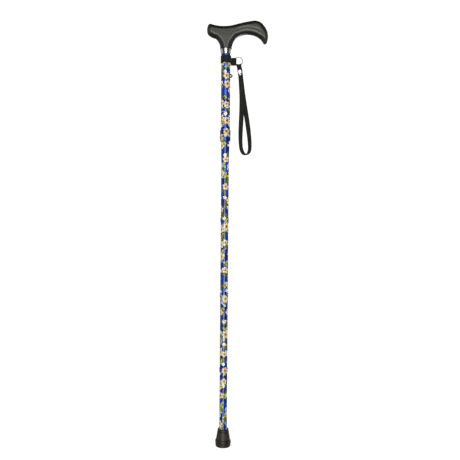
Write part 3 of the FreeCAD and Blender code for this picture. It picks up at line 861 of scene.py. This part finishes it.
def handle_outline():
    """The handle's outline in its middle plane, as one loop of points, without the socket."""
    work = bmesh.new()
    work.from_mesh(frame["nodes"]["handle"].data)
    bmesh.ops.remove_doubles(work, verts=work.verts, dist=0.00002)
    geometry = work.verts[:] + work.edges[:] + work.faces[:]
    cut = bmesh.ops.bisect_plane(work, geom=geometry, plane_co=(0, 0, 0), plane_no=(0, 1, 0), dist=1e-7)
    neighbours = {}
    for edge in cut["geom_cut"]:
        if not isinstance(edge, bmesh.types.BMEdge):
            continue
        ends = [(round(v.co.x, 6), round(v.co.z, 6)) for v in edge.verts]
        inside = [abs(x) < SOCKET_R and z < neck_z + SOCKET_TALL for x, z in ends]
        if all(inside) or ends[0] == ends[1]:
            continue
        neighbours.setdefault(ends[0], set()).add(ends[1])
        neighbours.setdefault(ends[1], set()).add(ends[0])
    work.free()
    start = next(place for place, others in neighbours.items() if len(others) == 1)
    loop = [start]
    before = None
    while True:
        onward = [place for place in neighbours[loop[-1]] if place != before and place not in loop[-3:]]
        if not onward:
            break
        before = loop[-1]
        loop.append(onward[0])
        if loop[-1] == start:
            break
    return [Vector((x, 0, z)) for x, z in loop]


def spaced(points, gap):
    """The same line with points about a gap apart."""
    line = []
    for before, after in zip(points, points[1:]):
        steps = max(int((after - before).length / gap), 1)
        line += [before.lerp(after, number / steps) for number in range(steps)]
    return line + [points[-1]]


def tree_of(points):
    tree = KDTree(len(points))
    for number, point in enumerate(points):
        tree.insert(point, number)
    tree.balance()
    return tree


def merge_close_points(mesh, gap):
    """Join points that the shaping has crowded closer than the gap."""
    work = bmesh.new()
    work.from_mesh(mesh)
    bmesh.ops.remove_doubles(work, verts=work.verts, dist=gap)
    work.to_mesh(mesh)
    work.free()


def slab_of(loop):
    """The outline as a slab, remeshed into small even faces."""
    work = bmesh.new()
    sides = [[work.verts.new((p.x, y, p.z)) for p in loop] for y in (-HANDLE_HALF, HANDLE_HALF)]
    work.faces.new(sides[0])
    work.faces.new(sides[1])
    for number in range(len(loop)):
        after = (number + 1) % len(loop)
        work.faces.new((sides[0][number], sides[0][after], sides[1][after], sides[1][number]))
    bmesh.ops.recalc_face_normals(work, faces=work.faces)
    mesh = bpy.data.meshes.new("handle_grip")
    work.to_mesh(mesh)
    work.free()
    made = add_object("handle_grip", mesh, handle_finish)
    remesh = made.modifiers.new("remesh", "REMESH")
    remesh.mode = "VOXEL"
    remesh.voxel_size = VOXEL
    apply_modifiers(made)
    return made


def underside_of(rim):
    """The rim's points below the long arm: those in the lower half of their column."""
    spans = {}
    for point in rim:
        key = round(point.x / COLUMN)
        low, high = spans.get(key, (point.z, point.z))
        spans[key] = (min(low, point.z), max(high, point.z))
    return [
        point for point in rim
        if 14 * MM < point.x < 75 * MM and point.z < sum(spans[round(point.x / COLUMN)]) / 2
    ]


def edge_shape(flat, nearest, distance, from_under, along_arm):
    """How the slab is rounded at a point of the outline's plane.

    Gives the rounded edge's width, the tilt at which it meets the side face, its radius, half the
    thickness of the slab's middle, the stretch along the top, and the strength of the painted highlight.
    """
    neck = smoothstep(neck_z + NECK_START, neck_z + NECK_FULL, flat.z)
    neck *= smoothstep(16 * MM, 12 * MM, abs(flat.x))
    ends = max(smoothstep(50 * MM, 86 * MM, flat.x), smoothstep(-24 * MM, -42 * MM, flat.x))
    half = HANDLE_HALF - ENDS_THINNER * ends
    half -= ARM_UNDER * along_arm * smoothstep(12 * MM, 6 * MM, from_under)
    half += (NECK_HALF * math.cos(NECK_TILT) - half) * neck
    below = smoothstep(-0.3, 0.5, (flat.z - nearest.z) / max(distance, 0.1 * MM))
    edge = EDGE_TOP + (EDGE_UNDER - ARM_EDGE * along_arm - EDGE_TOP) * below
    tilt = TILT_TOP + (TILT_UNDER - TILT_TOP) * below
    radius = edge / (1 - math.sin(tilt))
    radius += (NECK_HALF - radius) * neck
    tilt += (NECK_TILT - tilt) * neck
    edge = radius * (1 - math.sin(tilt))
    middle = max(half - radius * math.cos(tilt), 0.2 * MM)
    stretch = 1 + TOP_STRETCH * (1 - below) * (1 - neck) * smoothstep(824 * MM, 846 * MM, flat.z)
    # Painted highlight: the pale line along the crease, and the fainter upper band on the arm.
    crease_highlight = math.exp(-((distance - edge - 0.4 * MM) / HIGHLIGHT_WIDTH) ** 2)
    upper_highlight = 0.7 * along_arm * math.exp(-((from_under - UPPER_HIGHLIGHT_PLACE) / HIGHLIGHT_WIDTH) ** 2)
    return edge, tilt, radius, middle, stretch, max(below * crease_highlight, upper_highlight)


def make_handle():
    """A slab of the outline, rounded off by each point's distance from the rim."""
    loop = handle_outline()
    rim = [point for point in spaced(loop, RIM_GAP) if point.z > neck_z + 0.4 * MM]
    made = slab_of(loop)
    rim_tree = tree_of(rim)
    under_tree = tree_of(underside_of(rim))
    # Per-point strength of the painted highlight, read by the handle's material.
    ridge_highlight = made.data.attributes.new("ridge_highlight", "FLOAT", "POINT").data
    for vertex in made.data.vertices:
        flat = Vector((vertex.co.x, 0, vertex.co.z))
        nearest, _, distance = rim_tree.find(flat)
        _, _, from_under = under_tree.find(flat)
        along_arm = smoothstep(16 * MM, 28 * MM, flat.x) * smoothstep(76 * MM, 66 * MM, flat.x)
        edge, tilt, radius, middle, stretch, highlight_strength = edge_shape(flat, nearest, distance, from_under, along_arm)
        ridge_highlight[vertex.index].value = highlight_strength
        if abs(vertex.co.y) < HANDLE_HALF - SIDE_REACH:
            vertex.co.y *= middle / HANDLE_HALF
            continue
        share = min(distance / (edge * stretch), 1.0)
        turn = math.pi / 2 - share * (math.pi / 2 - tilt)
        depth = middle + radius * math.cos(turn)
        moved = distance - stretch * radius * (1 - math.sin(turn)) if share < 1 else 0.0
        moved += RIM_GAP * (1 - share)
        outwards = (nearest - flat).normalized() if distance > 0.05 * MM else Vector()
        groove = math.exp(-((from_under - GROOVE_PLACE) / GROOVE_WIDTH) ** 2)
        groove *= along_arm * smoothstep(0.6, 1.0, share)
        depth = math.copysign(depth - GROOVE_DEPTH * groove, vertex.co.y)
        vertex.co = flat + outwards * moved + Vector((0, depth, 0))
    merge_close_points(made.data, MERGE_GAP)
    relax = made.modifiers.new("relax", "SMOOTH")
    relax.factor = 0.5
    relax.iterations = RELAX_STEPS
    apply_modifiers(made)
    for vertex in made.data.vertices:
        vertex.co.z = max(vertex.co.z, neck_z)
    for polygon in made.data.polygons:
        polygon.use_smooth = True
    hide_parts("handle")
    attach(made, "handle_section")


make_handle()


# Elastic cord: one piece across each joint of the shaft ----------------------

CORD_R = 2.0 * MM
CORD_SIDES = 24
CORD_STEP = 1.5 * MM
KNOT_HALF = 4 * MM
KNOT_SWELL = 0.95


def make_cord_pieces():
    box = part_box("elastic_cord")
    bodies = ["adjusting_section"] + [f"section_{number}" for number in SECTIONS]
    joints_z = [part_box(f"section_tube_{number}")[1][2] for number in SECTIONS]
    middles = [(upper + lower) / 2 for upper, lower in zip(joints_z, joints_z[1:])]
    ends = [box[1][2]] + middles + [box[0][2]]
    for number, name in enumerate(bodies[:-1]):
        top, bottom = ends[number], ends[number + 1]
        knot_at = {0: top, len(bodies) - 2: bottom}.get(number)
        steps = int((top - bottom) / CORD_STEP)
        centres = [Vector((0, 0, top + (bottom - top) * step / steps)) for step in range(steps + 1)]
        turns = [math.radians(360 / CORD_SIDES * side) for side in range(CORD_SIDES)]
        section = [(CORD_R * math.cos(turn), CORD_R * math.sin(turn)) for turn in turns]

        def scale(share, knot_at=knot_at, top=top, bottom=bottom):
            z = top + (bottom - top) * share
            size = 1 - 0.05 * math.sin(z / CORD_STEP)
            if knot_at is not None:
                from_knot = abs(abs(z - knot_at) - KNOT_HALF)
                size += KNOT_SWELL * math.sqrt(max(1 - (from_knot / KNOT_HALF) ** 2, 0))
            return size, size

        across = [Vector((1, 0, 0))] * len(centres)
        piece = sweep(f"elastic_cord_{number + 1}", centres, across, section, elastic, scale=scale)
        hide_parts("elastic_cord")
        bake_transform(piece)


make_cord_pieces()


# Studio -----------------------------------------------------------------------

FLOOR_Z = -0.26         # below the reach of the shaft when every section is pulled out
STAGE_R = 6
WORLD_BASE = 0.035
WORLD_BESIDE = 0.07
WORLD_BEHIND = 0.34


def make_studio():
    floor_mesh = bpy.data.meshes.new("studio_floor")
    work = bmesh.new()
    bmesh.ops.create_circle(work, cap_ends=True, radius=STAGE_R, segments=96)
    work.to_mesh(floor_mesh)
    work.free()
    floor = Surface("studio_white", roughness=0.9)
    speckle = floor.noise(floor.place, 3, 2)
    floor.set(base_color=floor.mix(speckle, (0.1, 0.1, 0.1, 1), (0.14, 0.14, 0.14, 1)))
    floor.set(emission_color=(1, 1, 1, 1), emission_strength=1.03)
    ground = add_object("studio_floor", floor_mesh, floor.material, smooth=False)
    ground.location = (0, 0, FLOOR_Z)

    dome_mesh = bpy.data.meshes.new("studio_dome")
    work = bmesh.new()
    bmesh.ops.create_uvsphere(work, u_segments=64, v_segments=32, radius=STAGE_R)
    work.to_mesh(dome_mesh)
    work.free()
    glow = Surface("studio_glow", base_color=(0, 0, 0, 1), roughness=1.0)
    glow.set(emission_color=(1, 1, 1, 1), emission_strength=1.1)
    dome = add_object("studio_dome", dome_mesh, glow.material)
    for made in (ground, dome):
        made.visible_diffuse = False
        made.visible_glossy = False
        made.visible_shadow = False


def area_light(name, place, target, width, height, radiance):
    data = bpy.data.lights.new(name, "AREA")
    data.shape = "RECTANGLE"
    data.size = width
    data.size_y = height
    data.energy = radiance * math.pi * width * height
    made = bpy.data.objects.new(name, data)
    scene.collection.objects.link(made)
    made.location = place
    made.rotation_euler = (Vector(target) - Vector(place)).to_track_quat("-Z", "Y").to_euler()
    return made


def make_lights():
    area_light("key", (-0.1, -1.9, 0.33), (-0.05, 0, 0.33), 1.15, 2.35, 5.0)
    area_light("back_key", (0.85, 1.8, 0.45), (0, 0, 0.45), 0.6, 2.4, 5.0)
    for name, side in (("left_fill", -1), ("right_fill", 1)):
        fill = area_light(name, (1.7 * side, -0.9, 0.9), (0, 0, 0.5), 1.0, 2.0, 2.2)
        fill.visible_glossy = False
    world = bpy.data.worlds.new("studio")
    world.use_nodes = True
    scene.world = world
    g = Graph(world.node_tree)
    direction = g.node("ShaderNodeTexCoord").outputs["Generated"]
    x, y, z = g.split(direction)
    behind = g.mul(g.step(y, -0.35, -0.05), g.step(g.math("ABSOLUTE", z), 0.7, 0.35))
    background = world.node_tree.nodes["Background"]
    background.inputs["Color"].default_value = (1, 1, 1, 1)
    beside = g.step(g.math("ABSOLUTE", x), 0.6, 0.9)
    strength = g.add(g.add(WORLD_BASE, g.mul(beside, WORLD_BESIDE)), g.mul(behind, WORLD_BEHIND))
    g.feed(background.inputs["Strength"], strength)


make_studio()
make_lights()
